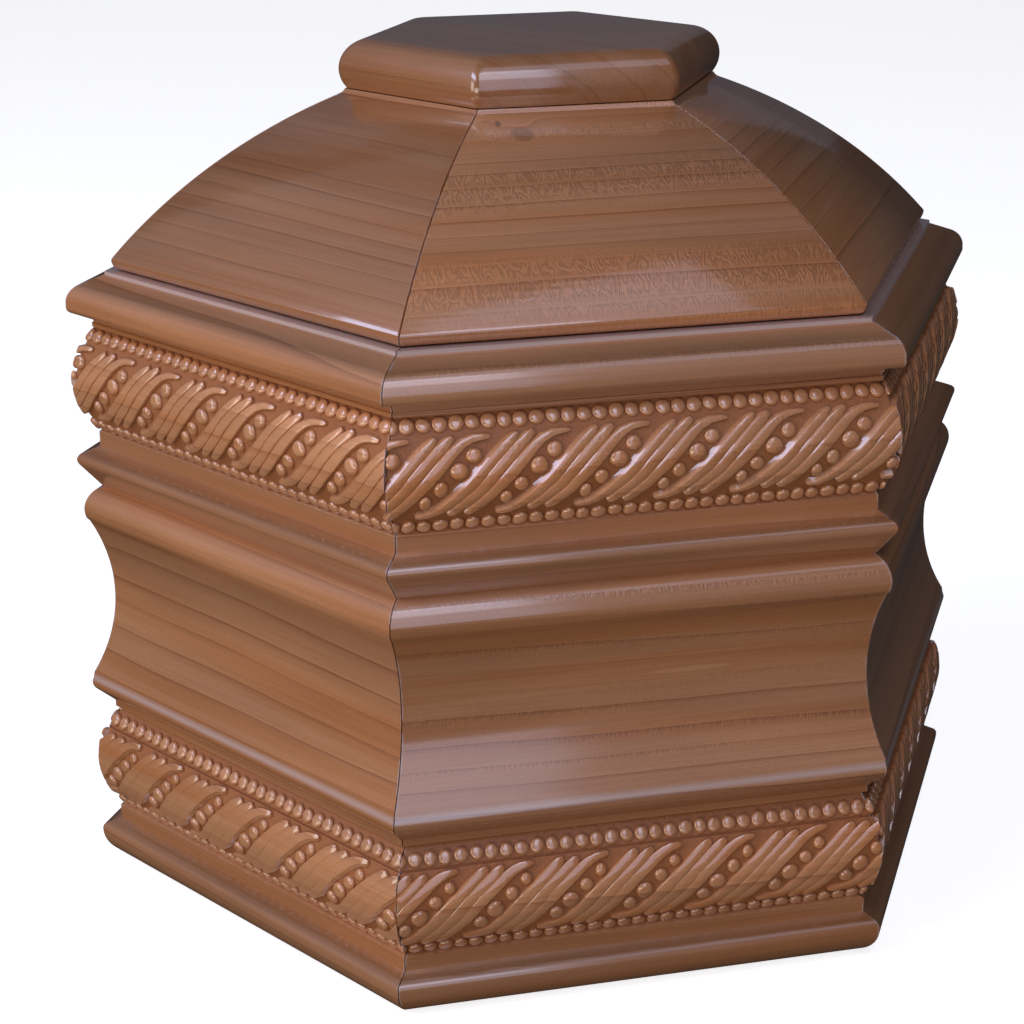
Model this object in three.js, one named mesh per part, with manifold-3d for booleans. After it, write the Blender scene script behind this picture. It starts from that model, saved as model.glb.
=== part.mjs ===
// Cremation urn: a hexagonal wooden box of six moulded and mitred sides, a bottom board let in from
// below, and a lift-off lid of six curved panels under a solid hexagonal cap.
// Millimetres, +Z up, origin on the underside at the centre, front side facing -Y.
// Every section is drawn as (a, z): a is the distance from the axis square to the side, z the height.
import * as THREE from 'three';
import { mergeVertices } from 'three/addons/utils/BufferGeometryUtils.js';
import Module from 'manifold-3d';

const wasm = await Module();
wasm.setup();

const SIDES = 6;
const SIDE_NAMES = ['front', 'front_right', 'back_right', 'back', 'back_left', 'front_left'];
const HALF_ANGLE = Math.PI / SIDES;
const JOINT_GAP = 0.3;
const CHORD_ERROR = 0.08;

// Box: the moulded face is flush at its noses, the inside is plain and upright.
const FACE = 117;
const INSIDE = 97;
const BOX_TOP = 180.5;
const LEDGE_EDGE = 107.2;
const LEDGE_RISE = 0.9;
const BLANK_LENGTH = 160;

// Base: rounded nose under a weathered top.
const BASE_FLAT = 107;
const BASE_NOSE_DEPTH = FACE - BASE_FLAT;
const BASE_NOSE_HEIGHT = 10.2;
const BASE_EDGE = 11.3;
const BASE_TOP = 13.9;
const BASE_ARRIS = { inward: 1.6, up: 1.5 };
const LOWER_FILLET = 112;

// Carved bands: a torus section with a sunk ground between two raised strips.
const BAND_SAG = 6;
const CARVING_DEPTH = 1.4;
const BEAD_STRIP_HEIGHT = 4;
const BEAD_STRIP_MARGIN = 0.8;
const GROUND_STEPS = 5;
const LOWER_BAND = { bottom: 16.8, top: 49 };
const UPPER_BAND = { bottom: 134.2, top: 165 };

// Rope carving: slanted S-shaped strands in groups that repeat along the band.
const REPEAT = 20.43;
const ROPE_REACH = 10.75;
const ROPE_CENTRE = 17;
const ROPE_LEFT = 3;
const ROPE_RIGHT = 15.1;
const ROPE_RUN = 10.4;
const ROPE_CURL = 1.2;
const ROPE_ROOT = 0.6;
const UPPER_PHASES = [11.7, 3.2, 16.4, 8.1, 0.9, 13.05];
const LOWER_PHASES = [0.1, 9.4, 14.2, 5.7, 18.3, 2.4];

// Main panel: a long hollow between a full upper nose and a small lower nose.
const PANEL_BOTTOM = 51;
const PANEL_FILLET = 111.5;
const LOWER_NOSE = { a: 114, z: 57.4, r: 3 };
const LOWER_NOSE_START = -50;
const LOWER_NOSE_END = 30;
const UPPER_NOSE = { a: 109, z: 110.9, r: 7 };
const UPPER_NOSE_START = -20;
const UPPER_NOSE_END = 75;
const HOLLOW = { a: 160.8, z: 85.6, r: 51 };
const HOLLOW_LOW = 211;
const HOLLOW_HIGH = 154.5;
const PANEL_TOP = 118.2;
const PANEL_TOP_FILLET = 111.3;

// Ridge between the panel and the upper band.
const RIDGE_UNDER = 124.9;
const RIDGE_EDGE = 126.4;
const RIDGE_ROUND = 1.2;
const RIDGE_TURN = 60;
const RIDGE_TOP = 130;
const UPPER_FILLET = 111;

// Cornice: sloped weathering up to a low upright strip, rounded nose, flat underside over a plain fillet.
const CORNICE_BOTTOM = 168.2;
const CORNICE_NOSE = { a: 111.3, z: 171.9, r: 5.7 };
const CORNICE_SHOULDER = 68;
const CORNICE_LIP = { a: 115.2, z: 170.9, r: 1.8 };
const CORNICE_LIP_START = -70;

// Bottom board, let into a rebate along the inside of the sides.
const REBATE_DEPTH = 6;
const REBATE_HEIGHT = 10;

// Lid: curved panels of even thickness that turn up to a short collar, and a cap with a half-round edge.
const DOME_BOTTOM = BOX_TOP + JOINT_GAP;
const DOME_TOP = 228.2;
const DOME_CENTRE = { a: -6.9, z: 94.2 };
const DOME_RADIUS = 143.7;
const DOME_THICKNESS = 12;
const DOME_EYE = 30;
const DOME_LIP = 1.5;
const COLLAR_FOOT = 226.7;
const COLLAR_BEND = { a: 47.5, z: 227.25 };
const COLLAR_EDGE = 46.9;
const CAP_BOTTOM = DOME_TOP + JOINT_GAP;
const CAP_TOP = 241.8;
const CAP_APOTHEM = 48.6;
const CAP_ROUND = 8.2;

const WOOD_SIDE = 0xa9754c;
const WOOD_DOME = 0xa87650;
const WOOD_CAP = 0x9a6644;
const WOOD_BOARD = 0xc29a6b;

const radians = THREE.MathUtils.degToRad;
const degrees = THREE.MathUtils.radToDeg;

// Points along an elliptical arc, angles in degrees from the +a direction. The number of chords
// keeps them within the chord error of the true curve.
function arc(centre, radiusA, radiusZ, from, to) {
  const chord = Math.sqrt((8 * CHORD_ERROR) / Math.max(radiusA, radiusZ));
  const steps = Math.ceil(radians(Math.abs(to - from)) / chord);
  const points = [];
  for (let i = 0; i <= steps; i += 1) {
    const angle = radians(from + ((to - from) * i) / steps);
    points.push(new THREE.Vector2(
      centre.a + radiusA * Math.cos(angle),
      centre.z + radiusZ * Math.sin(angle),
    ));
  }
  return points;
}

function round(circle, from, to) {
  return arc(circle, circle.r, circle.r, from, to);
}

// Circle of one carved band, and its point at arc length s below the band's top edge.
function bandCircle(band) {
  const half = (band.top - band.bottom) / 2;
  const radius = (half * half + BAND_SAG * BAND_SAG) / (2 * BAND_SAG);
  const reach = Math.asin(half / radius);
  return { a: FACE - radius, z: band.bottom + half, r: radius, reach, length: 2 * radius * reach };
}

function bandPoint(circle, s, depth) {
  const angle = circle.reach - s / circle.r;
  return new THREE.Vector2(
    circle.a + (circle.r - depth) * Math.cos(angle),
    circle.z + (circle.r - depth) * Math.sin(angle),
  );
}

// Section of a carved band from its bottom edge up: raised strip, sunk ground, raised strip.
function bandSection(band) {
  const circle = bandCircle(band);
  const stripLow = circle.length - BEAD_STRIP_MARGIN - BEAD_STRIP_HEIGHT;
  const stripHigh = BEAD_STRIP_MARGIN + BEAD_STRIP_HEIGHT;
  const points = [
    bandPoint(circle, circle.length - BEAD_STRIP_MARGIN, CARVING_DEPTH),
    bandPoint(circle, circle.length - BEAD_STRIP_MARGIN, 0),
    bandPoint(circle, stripLow, 0),
  ];
  for (const s of groundLevels(circle)) {
    points.push(bandPoint(circle, s, CARVING_DEPTH));
  }
  points.push(
    bandPoint(circle, stripHigh, 0),
    bandPoint(circle, BEAD_STRIP_MARGIN, 0),
    bandPoint(circle, BEAD_STRIP_MARGIN, CARVING_DEPTH),
  );
  return points;
}

// Arc lengths where the sunk ground changes slope, from the lower strip up to the upper one.
function groundLevels(circle) {
  const high = BEAD_STRIP_MARGIN + BEAD_STRIP_HEIGHT;
  const low = circle.length - high;
  const levels = [];
  for (let i = 0; i <= GROUND_STEPS; i += 1) {
    levels.push(low + ((high - low) * i) / GROUND_STEPS);
  }
  return levels;
}

// Whole section of one side, anticlockwise from the foot of the rebate.
function sideSection() {
  const at = (a, z) => new THREE.Vector2(a, z);
  const baseNose = { a: BASE_FLAT, z: BASE_NOSE_HEIGHT };
  const ridgeRound = { a: FACE - RIDGE_ROUND, z: RIDGE_EDGE - RIDGE_ROUND / 2, r: RIDGE_ROUND };
  return [
    at(INSIDE + REBATE_DEPTH, 0),
    ...arc(baseNose, BASE_NOSE_DEPTH, BASE_NOSE_HEIGHT, -90, 0),
    at(FACE, BASE_EDGE),
    at(FACE - BASE_ARRIS.inward, BASE_EDGE + BASE_ARRIS.up),
    at(LOWER_FILLET, BASE_TOP),
    ...bandSection(LOWER_BAND),
    at(PANEL_FILLET, LOWER_BAND.top),
    at(PANEL_FILLET, PANEL_BOTTOM),
    ...round(LOWER_NOSE, LOWER_NOSE_START, LOWER_NOSE_END),
    ...round(HOLLOW, HOLLOW_LOW, HOLLOW_HIGH).slice(1),
    ...round(UPPER_NOSE, UPPER_NOSE_START, UPPER_NOSE_END),
    at(PANEL_TOP_FILLET, PANEL_TOP),
    at(FACE - RIDGE_ROUND / 3, RIDGE_UNDER),
    ...round(ridgeRound, 0, RIDGE_TURN),
    at(UPPER_FILLET, RIDGE_TOP),
    ...bandSection(UPPER_BAND),
    at(UPPER_FILLET, UPPER_BAND.top),
    at(UPPER_FILLET, CORNICE_BOTTOM),
    ...round(CORNICE_LIP, CORNICE_LIP_START, 0),
    ...round(CORNICE_NOSE, 0, CORNICE_SHOULDER),
    at(LEDGE_EDGE, BOX_TOP - LEDGE_RISE),
    at(LEDGE_EDGE, BOX_TOP),
    at(INSIDE, BOX_TOP),
    at(INSIDE, REBATE_HEIGHT),
    at(INSIDE + REBATE_DEPTH, REBATE_HEIGHT),
  ];
}

// Section of one lid panel: outer curve, collar, flat top with an open eye under the cap, inner curve,
// and a flat foot with a small lip round.
function domeSection() {
  const angleAt = (z, radius) => degrees(Math.asin((z - DOME_CENTRE.z) / radius));
  const inner = DOME_RADIUS - DOME_THICKNESS;
  const eyeAngle = degrees(Math.acos((DOME_EYE - DOME_CENTRE.a) / inner));
  const lipStart = angleAt(DOME_BOTTOM + DOME_LIP, DOME_RADIUS);
  const outerTop = angleAt(COLLAR_FOOT, DOME_RADIUS);
  const outer = arc(DOME_CENTRE, DOME_RADIUS, DOME_RADIUS, lipStart, outerTop);
  const back = arc(DOME_CENTRE, inner, inner, eyeAngle, angleAt(DOME_BOTTOM, inner));
  const foot = outer[0].x;
  return [
    new THREE.Vector2(foot - DOME_LIP / 2, DOME_BOTTOM),
    new THREE.Vector2(foot + DOME_LIP / 6, DOME_BOTTOM + DOME_LIP / 3),
    ...outer,
    new THREE.Vector2(COLLAR_BEND.a, COLLAR_BEND.z),
    new THREE.Vector2(COLLAR_EDGE, DOME_TOP),
    new THREE.Vector2(DOME_EYE, DOME_TOP),
    ...back,
  ];
}

function solid(geometry) {
  geometry.deleteAttribute('normal');
  geometry.deleteAttribute('uv');
  const merged = mergeVertices(geometry, 1e-4);
  return new wasm.Manifold(new wasm.Mesh({
    numProp: 3,
    vertProperties: new Float32Array(merged.attributes.position.array),
    triVerts: new Uint32Array(merged.index.array),
  }));
}

// A section drawn out along X as a straight blank for the front side.
function blank(section) {
  const shape = new THREE.Shape(section);
  const geometry = new THREE.ExtrudeGeometry(shape, { depth: BLANK_LENGTH, bevelEnabled: false });
  const place = new THREE.Matrix4().set(
    0, 0, -1, BLANK_LENGTH / 2,
    -1, 0, 0, 0,
    0, 1, 0, 0,
    0, 0, 0, 1,
  );
  geometry.applyMatrix4(place);
  return solid(geometry);
}

// The sixth of the plan that one side keeps, drawn back from both mitre planes by half the joint gap.
function mitreWedge() {
  const reach = FACE + CARVING_DEPTH;
  const drawBack = JOINT_GAP / 2 / Math.cos(HALF_ANGLE);
  const half = reach * Math.tan(HALF_ANGLE) - drawBack;
  const tip = drawBack / Math.tan(HALF_ANGLE);
  const shape = new THREE.Shape([
    new THREE.Vector2(0, -tip),
    new THREE.Vector2(-half, -reach),
    new THREE.Vector2(half, -reach),
  ]);
  const geometry = new THREE.ExtrudeGeometry(shape, { depth: 2 * CAP_TOP, bevelEnabled: false });
  geometry.translate(0, 0, -CAP_TOP / 2);
  return solid(geometry);
}

// Position along the band of one edge of a rope group; t runs from -1 at its foot to 1 at its tip.
function ropeEdge(offset, t) {
  return offset + ROPE_RUN * t + ROPE_CURL * t * t * t;
}

// One raised rope group, rising from just under the ground to the face of the band.
function ropeGroup(circle, along, turned) {
  const levels = groundLevels(circle).slice(1, -1);
  levels.unshift(ROPE_CENTRE + ROPE_REACH);
  levels.push(ROPE_CENTRE - ROPE_REACH);
  const positions = [];
  for (const level of levels) {
    const t = (ROPE_CENTRE - level) / ROPE_REACH;
    const s = turned ? circle.length - level : level;
    for (const offset of [ROPE_LEFT, ROPE_RIGHT]) {
      const g = along + ropeEdge(offset, t) * (turned ? -1 : 1);
      for (const depth of [0, CARVING_DEPTH + ROPE_ROOT]) {
        const point = bandPoint(circle, s, depth);
        positions.push(g, -point.x, point.y);
      }
    }
  }
  const index = [];
  const quad = (p, q, r, s) => index.push(p, q, r, p, r, s);
  const rows = levels.length;
  const LEFT_TOP = 0;
  const LEFT_ROOT = 1;
  const RIGHT_TOP = 2;
  const RIGHT_ROOT = 3;
  for (let i = 0; i + 1 < rows; i += 1) {
    const low = 4 * i;
    const high = low + 4;
    quad(low + LEFT_TOP, low + RIGHT_TOP, high + RIGHT_TOP, high + LEFT_TOP);
    quad(low + LEFT_ROOT, high + LEFT_ROOT, high + RIGHT_ROOT, low + RIGHT_ROOT);
    quad(low + LEFT_TOP, high + LEFT_TOP, high + LEFT_ROOT, low + LEFT_ROOT);
    quad(low + RIGHT_TOP, low + RIGHT_ROOT, high + RIGHT_ROOT, high + RIGHT_TOP);
  }
  const last = 4 * (rows - 1);
  quad(LEFT_TOP, LEFT_ROOT, RIGHT_ROOT, RIGHT_TOP);
  quad(last + LEFT_TOP, last + RIGHT_TOP, last + RIGHT_ROOT, last + LEFT_ROOT);
  const geometry = new THREE.BufferGeometry();
  geometry.setAttribute('position', new THREE.Float32BufferAttribute(positions, 3));
  geometry.setIndex(index);
  return solid(geometry);
}

// All rope groups that reach into one side of one band.
function ropeRow(band, phase, turned) {
  const circle = bandCircle(band);
  const reach = FACE * Math.tan(HALF_ANGLE) + ROPE_RIGHT + ROPE_RUN + ROPE_CURL;
  const groups = [];
  for (let k = Math.ceil((-reach - phase) / REPEAT); phase + k * REPEAT < reach; k += 1) {
    groups.push(ropeGroup(circle, phase + k * REPEAT, turned));
  }
  return groups;
}

// The body itself, without loose slivers of carving that a mitre cut leaves at the very edge.
function mainBody(manifold) {
  return manifold.decompose().reduce((a, b) => (a.volume() > b.volume() ? a : b));
}

function piece(name, manifold, colour, turn) {
  const mesh = manifold.getMesh();
  const geometry = new THREE.BufferGeometry();
  geometry.setAttribute('position', new THREE.Float32BufferAttribute(mesh.vertProperties, 3));
  geometry.setIndex(Array.from(mesh.triVerts));
  geometry.rotateZ(turn);
  geometry.computeVertexNormals();
  const material = new THREE.MeshStandardMaterial({ color: colour, roughness: 0.4 });
  const node = new THREE.Mesh(geometry, material);
  node.name = name;
  return node;
}

// Hexagonal body turned from a section of (corner radius, z) points, corners on the X axis.
function hexagon(section) {
  const corners = section.map((p) => new THREE.Vector2(p.x / Math.cos(HALF_ANGLE), p.y));
  const geometry = new THREE.LatheGeometry(corners, SIDES, Math.PI / 2);
  geometry.rotateX(Math.PI / 2);
  return solid(geometry);
}

// Section of the cap: flat underside, half-round edge, flat top.
function capSection() {
  const middle = { a: CAP_APOTHEM - CAP_ROUND, z: CAP_TOP - CAP_ROUND };
  const start = degrees(Math.asin((CAP_BOTTOM - middle.z) / CAP_ROUND));
  return [
    new THREE.Vector2(0, CAP_BOTTOM),
    ...arc(middle, CAP_ROUND, CAP_ROUND, start, 90),
    new THREE.Vector2(0, CAP_TOP),
  ];
}

function boardSection() {
  const edge = INSIDE + REBATE_DEPTH - JOINT_GAP;
  const top = REBATE_HEIGHT - JOINT_GAP;
  return [
    new THREE.Vector2(0, 0),
    new THREE.Vector2(edge, 0),
    new THREE.Vector2(edge, top),
    new THREE.Vector2(0, top),
  ];
}

const urn = new THREE.Group();
urn.name = 'cremation_urn';
const wedge = mitreWedge();
const plainSide = blank(sideSection());
const domePanel = blank(domeSection()).intersect(wedge);

for (let i = 0; i < SIDES; i += 1) {
  const turn = i * 2 * HALF_ANGLE;
  const ropes = [
    ...ropeRow(UPPER_BAND, UPPER_PHASES[i], false),
    ...ropeRow(LOWER_BAND, LOWER_PHASES[i], true),
  ];
  const side = wasm.Manifold.union([plainSide, ...ropes]).intersect(wedge);
  urn.add(piece(`side_${SIDE_NAMES[i]}`, mainBody(side), WOOD_SIDE, turn));
  urn.add(piece(`dome_${SIDE_NAMES[i]}`, domePanel, WOOD_DOME, turn));
}
urn.add(piece('cap', hexagon(capSection()), WOOD_CAP, 0));
urn.add(piece('bottom_board', hexagon(boardSection()), WOOD_BOARD, 0));

export default urn;
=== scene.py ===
"""Looks of a carved hexagonal urn in varnished wood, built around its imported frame.

Sections are drawn in millimetres as (a, z): a is the distance from the upright axis square to a
side, z the height. Every side and lid panel is modelled facing -Y and turned to its place at the end.
"""

import logging
import math
from collections.abc import Callable, Iterable, Sequence
from dataclasses import dataclass, field
from enum import Enum

import bmesh
import bpy
import numpy as np
from mathutils import Matrix, Vector

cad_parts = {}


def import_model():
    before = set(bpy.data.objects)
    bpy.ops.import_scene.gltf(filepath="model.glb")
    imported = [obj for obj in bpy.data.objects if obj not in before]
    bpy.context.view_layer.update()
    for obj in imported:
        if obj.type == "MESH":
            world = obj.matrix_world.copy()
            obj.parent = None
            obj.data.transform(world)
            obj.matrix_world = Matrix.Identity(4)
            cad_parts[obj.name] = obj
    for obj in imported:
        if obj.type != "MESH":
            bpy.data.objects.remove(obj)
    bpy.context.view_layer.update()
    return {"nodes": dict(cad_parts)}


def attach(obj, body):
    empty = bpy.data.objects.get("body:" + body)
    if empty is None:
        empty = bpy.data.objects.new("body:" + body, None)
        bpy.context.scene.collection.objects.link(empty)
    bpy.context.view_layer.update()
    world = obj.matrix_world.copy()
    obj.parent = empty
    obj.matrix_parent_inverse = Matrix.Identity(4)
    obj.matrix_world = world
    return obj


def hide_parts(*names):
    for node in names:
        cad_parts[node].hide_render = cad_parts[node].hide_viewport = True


LOG = logging.getLogger("urn")
MM = 0.001
SIDES = 6
SECTOR = 2 * math.pi / SIDES
SIDE_NAMES = ("front", "front_right", "back_right", "back", "back_left", "front_left")
BLANK_LENGTH = 160.0
SHARP_EDGE = math.radians(32)
DOUBLES = 1e-6

Pair = tuple[float, float]
Triple = tuple[float, float, float]
Colour = tuple[float, float, float, float]
Outline = list[Pair]
Shape = tuple[np.ndarray, list[tuple[int, ...]]]
Piece = bpy.types.Object
Socket = bpy.types.NodeSocket


class Joinery(Enum):
    """Ways in which one solid is worked with another."""

    GLUE = "UNION"
    KEEP_INSIDE = "INTERSECT"


class Lay(Enum):
    """Ways up in which a length of carved band is set into a side."""

    UPRIGHT = 1
    TURNED = -1


@dataclass(frozen=True)
class Circle:
    """Circle in a section, in millimetres."""

    a: float
    z: float
    r: float

    def arc(self, start: float, end: float, step: float = 1.0) -> Outline:
        """Points along the circle.

        Args:
            start: First angle in degrees from the +a direction.
            end: Last angle in degrees.
            step: Longest distance between two points.

        Returns:
            The points, both ends among them.
        """
        return ellipse((self.a, self.z), (self.r, self.r), start, end, step)


def ellipse(
    centre: Pair, radii: Pair, start: float, end: float, step: float = 1.0
) -> Outline:
    """Points along an elliptical arc.

    Args:
        centre: Middle of the ellipse as (a, z).
        radii: Half sizes along a and z.
        start: First angle in degrees from the +a direction.
        end: Last angle in degrees.
        step: Longest distance between two points.

    Returns:
        The points, both ends among them.
    """
    turn = math.radians(end - start)
    count = max(2, math.ceil(abs(turn) * max(radii) / step))
    angles = [math.radians(start) + turn * i / count for i in range(count + 1)]
    return [(centre[0] + radii[0] * math.cos(t), centre[1] + radii[1] * math.sin(t)) for t in angles]


class Bench:
    """Hand tools, each used on one object at a time."""

    @staticmethod
    def clear() -> None:
        """Leaves edit mode and lets go of every object."""
        if bpy.context.mode != "OBJECT":
            bpy.ops.object.mode_set(mode="OBJECT")
        bpy.ops.object.select_all(action="DESELECT")

    @staticmethod
    def hold(piece: Piece) -> None:
        """Makes a piece the active one and the only one selected."""
        Bench.clear()
        piece.select_set(True)
        bpy.context.view_layer.objects.active = piece

    @staticmethod
    def edit(piece: Piece, kind: str = "VERT") -> None:
        """Opens a piece in edit mode with all of it selected."""
        Bench.hold(piece)
        bpy.ops.object.mode_set(mode="EDIT")
        bpy.ops.mesh.select_mode(type=kind)
        bpy.ops.mesh.select_all(action="SELECT")

    @staticmethod
    def pick(piece: Piece, test: Callable[[Vector], bool], kind: str = "VERT") -> None:
        """Selects by place in edit mode.

        Args:
            piece: The piece that is open in edit mode.
            test: Says of a vertex's place whether it is wanted.
            kind: VERT, EDGE or FACE; an edge or face is taken when all its vertices are wanted.
        """
        bpy.ops.mesh.select_mode(type=kind)
        bpy.ops.mesh.select_all(action="DESELECT")
        mesh = bmesh.from_edit_mesh(piece.data)
        wanted = {v.index for v in mesh.verts if test(v.co)}
        items = {"VERT": mesh.verts, "EDGE": mesh.edges, "FACE": mesh.faces}[kind]
        for item in items:
            own = (item,) if kind == "VERT" else item.verts
            if all(v.index in wanted for v in own):
                item.select_set(True)
        bmesh.update_edit_mesh(piece.data)

    @staticmethod
    def draw_out(steps: Iterable[Sequence[float]]) -> None:
        """Extrudes what is selected step by step, each step a move in metres."""
        for step in steps:
            bpy.ops.mesh.extrude_region_move(TRANSFORM_OT_translate={"value": tuple(step)})

    @staticmethod
    def clean() -> None:
        """Merges doubles, closes open loops and turns faces outwards on the piece in edit mode."""
        bpy.ops.mesh.select_all(action="SELECT")
        bpy.ops.mesh.remove_doubles(threshold=DOUBLES)
        bpy.ops.mesh.fill_holes(sides=0)
        bpy.ops.mesh.select_all(action="SELECT")
        bpy.ops.mesh.normals_make_consistent(inside=False)

    @staticmethod
    def moulding(name: str, section: Outline) -> Piece:
        """Draws a straight moulding from a closed section.

        Args:
            name: Name of the piece.
            section: Points in millimetres, the first two on one level.

        Returns:
            The moulding, facing -Y.
        """
        Bench.clear()
        (near, level), (far, _) = section[:2]
        bpy.ops.mesh.primitive_plane_add(size=1.0)
        piece = bpy.context.object
        piece.name = piece.data.name = name
        Bench.edit(piece)
        bpy.ops.transform.resize(value=(BLANK_LENGTH * MM, (far - near) * MM, 1.0), center_override=(0, 0, 0))
        bpy.ops.transform.translate(value=(0, -(near + far) / 2 * MM, level * MM))
        Bench.pick(piece, lambda co: co.y < -(near + far) / 2 * MM, "EDGE")
        path = [*section[1:], section[0]]
        Bench.draw_out((0, (p[0] - q[0]) * MM, (q[1] - p[1]) * MM) for p, q in zip(path, path[1:]))
        Bench.clean()
        Bench.clear()
        return piece

    @staticmethod
    def copy(piece: Piece, name: str) -> Piece:
        """Copies a piece with a mesh of its own."""
        twin = piece.copy()
        twin.data = piece.data.copy()
        twin.name = twin.data.name = name
        bpy.context.scene.collection.objects.link(twin)
        return twin

    @staticmethod
    def work(piece: Piece, tool: Piece, way: Joinery) -> None:
        """Joins or cuts a piece with another solid, which stays as it is."""
        Bench.hold(piece)
        cut = piece.modifiers.new(way.name, "BOOLEAN")
        cut.operation = way.value
        cut.solver = "MANIFOLD"
        cut.object = tool
        bpy.ops.object.modifier_apply(modifier=cut.name)

    @staticmethod
    def finish(piece: Piece, finishes: list[bpy.types.Material], number: int) -> None:
        """Gives a piece its finishes, shades it smooth between sharp edges and turns it to its place.

        Args:
            piece: The piece, facing -Y.
            finishes: The finishes of its faces.
            number: Number of its side, anticlockwise from the front.
        """
        piece.data.materials.clear()
        for finish in finishes:
            piece.data.materials.append(finish)
        Bench.hold(piece)
        bpy.ops.object.shade_smooth_by_angle(angle=SHARP_EDGE)
        Bench.clear()
        piece.data.transform(Matrix.Rotation(number * SECTOR, 4, "Z"))

    @staticmethod
    def drop(*pieces: Piece) -> None:
        """Throws away helper pieces."""
        for piece in pieces:
            bpy.data.objects.remove(piece)


class Graph:
    """Node tree of one finish."""

    def __init__(self, name: str) -> None:
        """Starts a material with its shader."""
        self.material = bpy.data.materials.new(name)
        self.material.use_nodes = True
        self.tree = self.material.node_tree
        self.shader = self.tree.nodes["Principled BSDF"]

    def shade(self, name: str, value: object) -> None:
        """Links or sets one of the shader's sockets."""
        self.put(self.shader.inputs[name], value)

    def put(self, socket: Socket, value: object) -> None:
        """Links a socket or sets its value."""
        if isinstance(value, Socket):
            self.tree.links.new(value, socket)
        else:
            socket.default_value = value

    def node(self, kind: str, **options: object) -> bpy.types.Node:
        """Adds a node with options set on it."""
        made = self.tree.nodes.new(kind)
        for key, value in options.items():
            setattr(made, key, value)
        return made

    def own(self, attribute: str, output: str) -> Socket:
        """Reads an attribute of the piece's own mesh."""
        return self.node("ShaderNodeAttribute", attribute_name=attribute).outputs[output]

    def sum(self, kind: str, *values: object, clamp: bool = False) -> Socket:
        """Does sums on numbers."""
        made = self.node("ShaderNodeMath", operation=kind, use_clamp=clamp)
        for socket, value in zip(made.inputs, values):
            self.put(socket, value)
        return made.outputs[0]

    def product(self, *values: object) -> Socket:
        """Multiplies numbers."""
        total = values[0]
        for value in values[1:]:
            total = self.sum("MULTIPLY", total, value)
        return total

    def vector(self, kind: str, *values: object) -> Socket:
        """Does sums on vectors."""
        made = self.node("ShaderNodeVectorMath", operation=kind)
        for socket, value in zip(made.inputs, values):
            self.put(socket, value)
        return made.outputs["Value" if kind == "LENGTH" else "Vector"]

    def millimetres(self, place: Socket) -> Socket:
        """Turns a place in metres into millimetres."""
        scaled = self.vector("SCALE", place)
        scaled.node.inputs["Scale"].default_value = 1 / MM
        return scaled

    def stretch(self, place: Socket, by: Sequence[float]) -> Socket:
        """Scales a place along each axis."""
        return self.vector("MULTIPLY", place, tuple(by))

    def noise(
        self, place: Socket, scale: float, detail: float = 2.0, roughness: float = 0.5, along: float = 1.0
    ) -> Socket:
        """Noise from 0 to 1 over a place in millimetres, drawn out along X where along is under 1."""
        made = self.node("ShaderNodeTexNoise")
        self.put(made.inputs["Vector"], self.stretch(place, (along, 1.0, 1.0)))
        self.put(made.inputs["Scale"], scale)
        self.put(made.inputs["Detail"], detail)
        self.put(made.inputs["Roughness"], roughness)
        return made.outputs[0]

    def span(
        self, value: object, low: float, high: float, to_low: float = 0.0, to_high: float = 1.0
    ) -> Socket:
        """Maps one range smoothly onto another."""
        made = self.node("ShaderNodeMapRange", interpolation_type="SMOOTHSTEP")
        for socket, number in zip(made.inputs, (value, low, high, to_low, to_high)):
            self.put(socket, number)
        return made.outputs[0]

    def mix(self, share: object, first: object, second: object, kind: str = "MIX") -> Socket:
        """Mixes two colours."""
        made = self.node("ShaderNodeMix", data_type="RGBA", blend_type=kind)
        self.put(made.inputs["Factor"], share)
        self.put(made.inputs[6], first)
        self.put(made.inputs[7], second)
        return made.outputs[2]


@dataclass(frozen=True)
class Mark:
    """Knot or resin streak at one place in a board. Lengths are in millimetres."""

    middle: Triple
    radii: Triple
    colour: Colour
    strength: float
    swell: float = 0.0

    def away(self, graph: Graph, place: Socket) -> Socket:
        """Distance from the mark, 1 at its rim."""
        offset = graph.vector("SUBTRACT", place, self.middle)
        return graph.vector("LENGTH", graph.stretch(offset, [1 / r for r in self.radii]))


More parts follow.
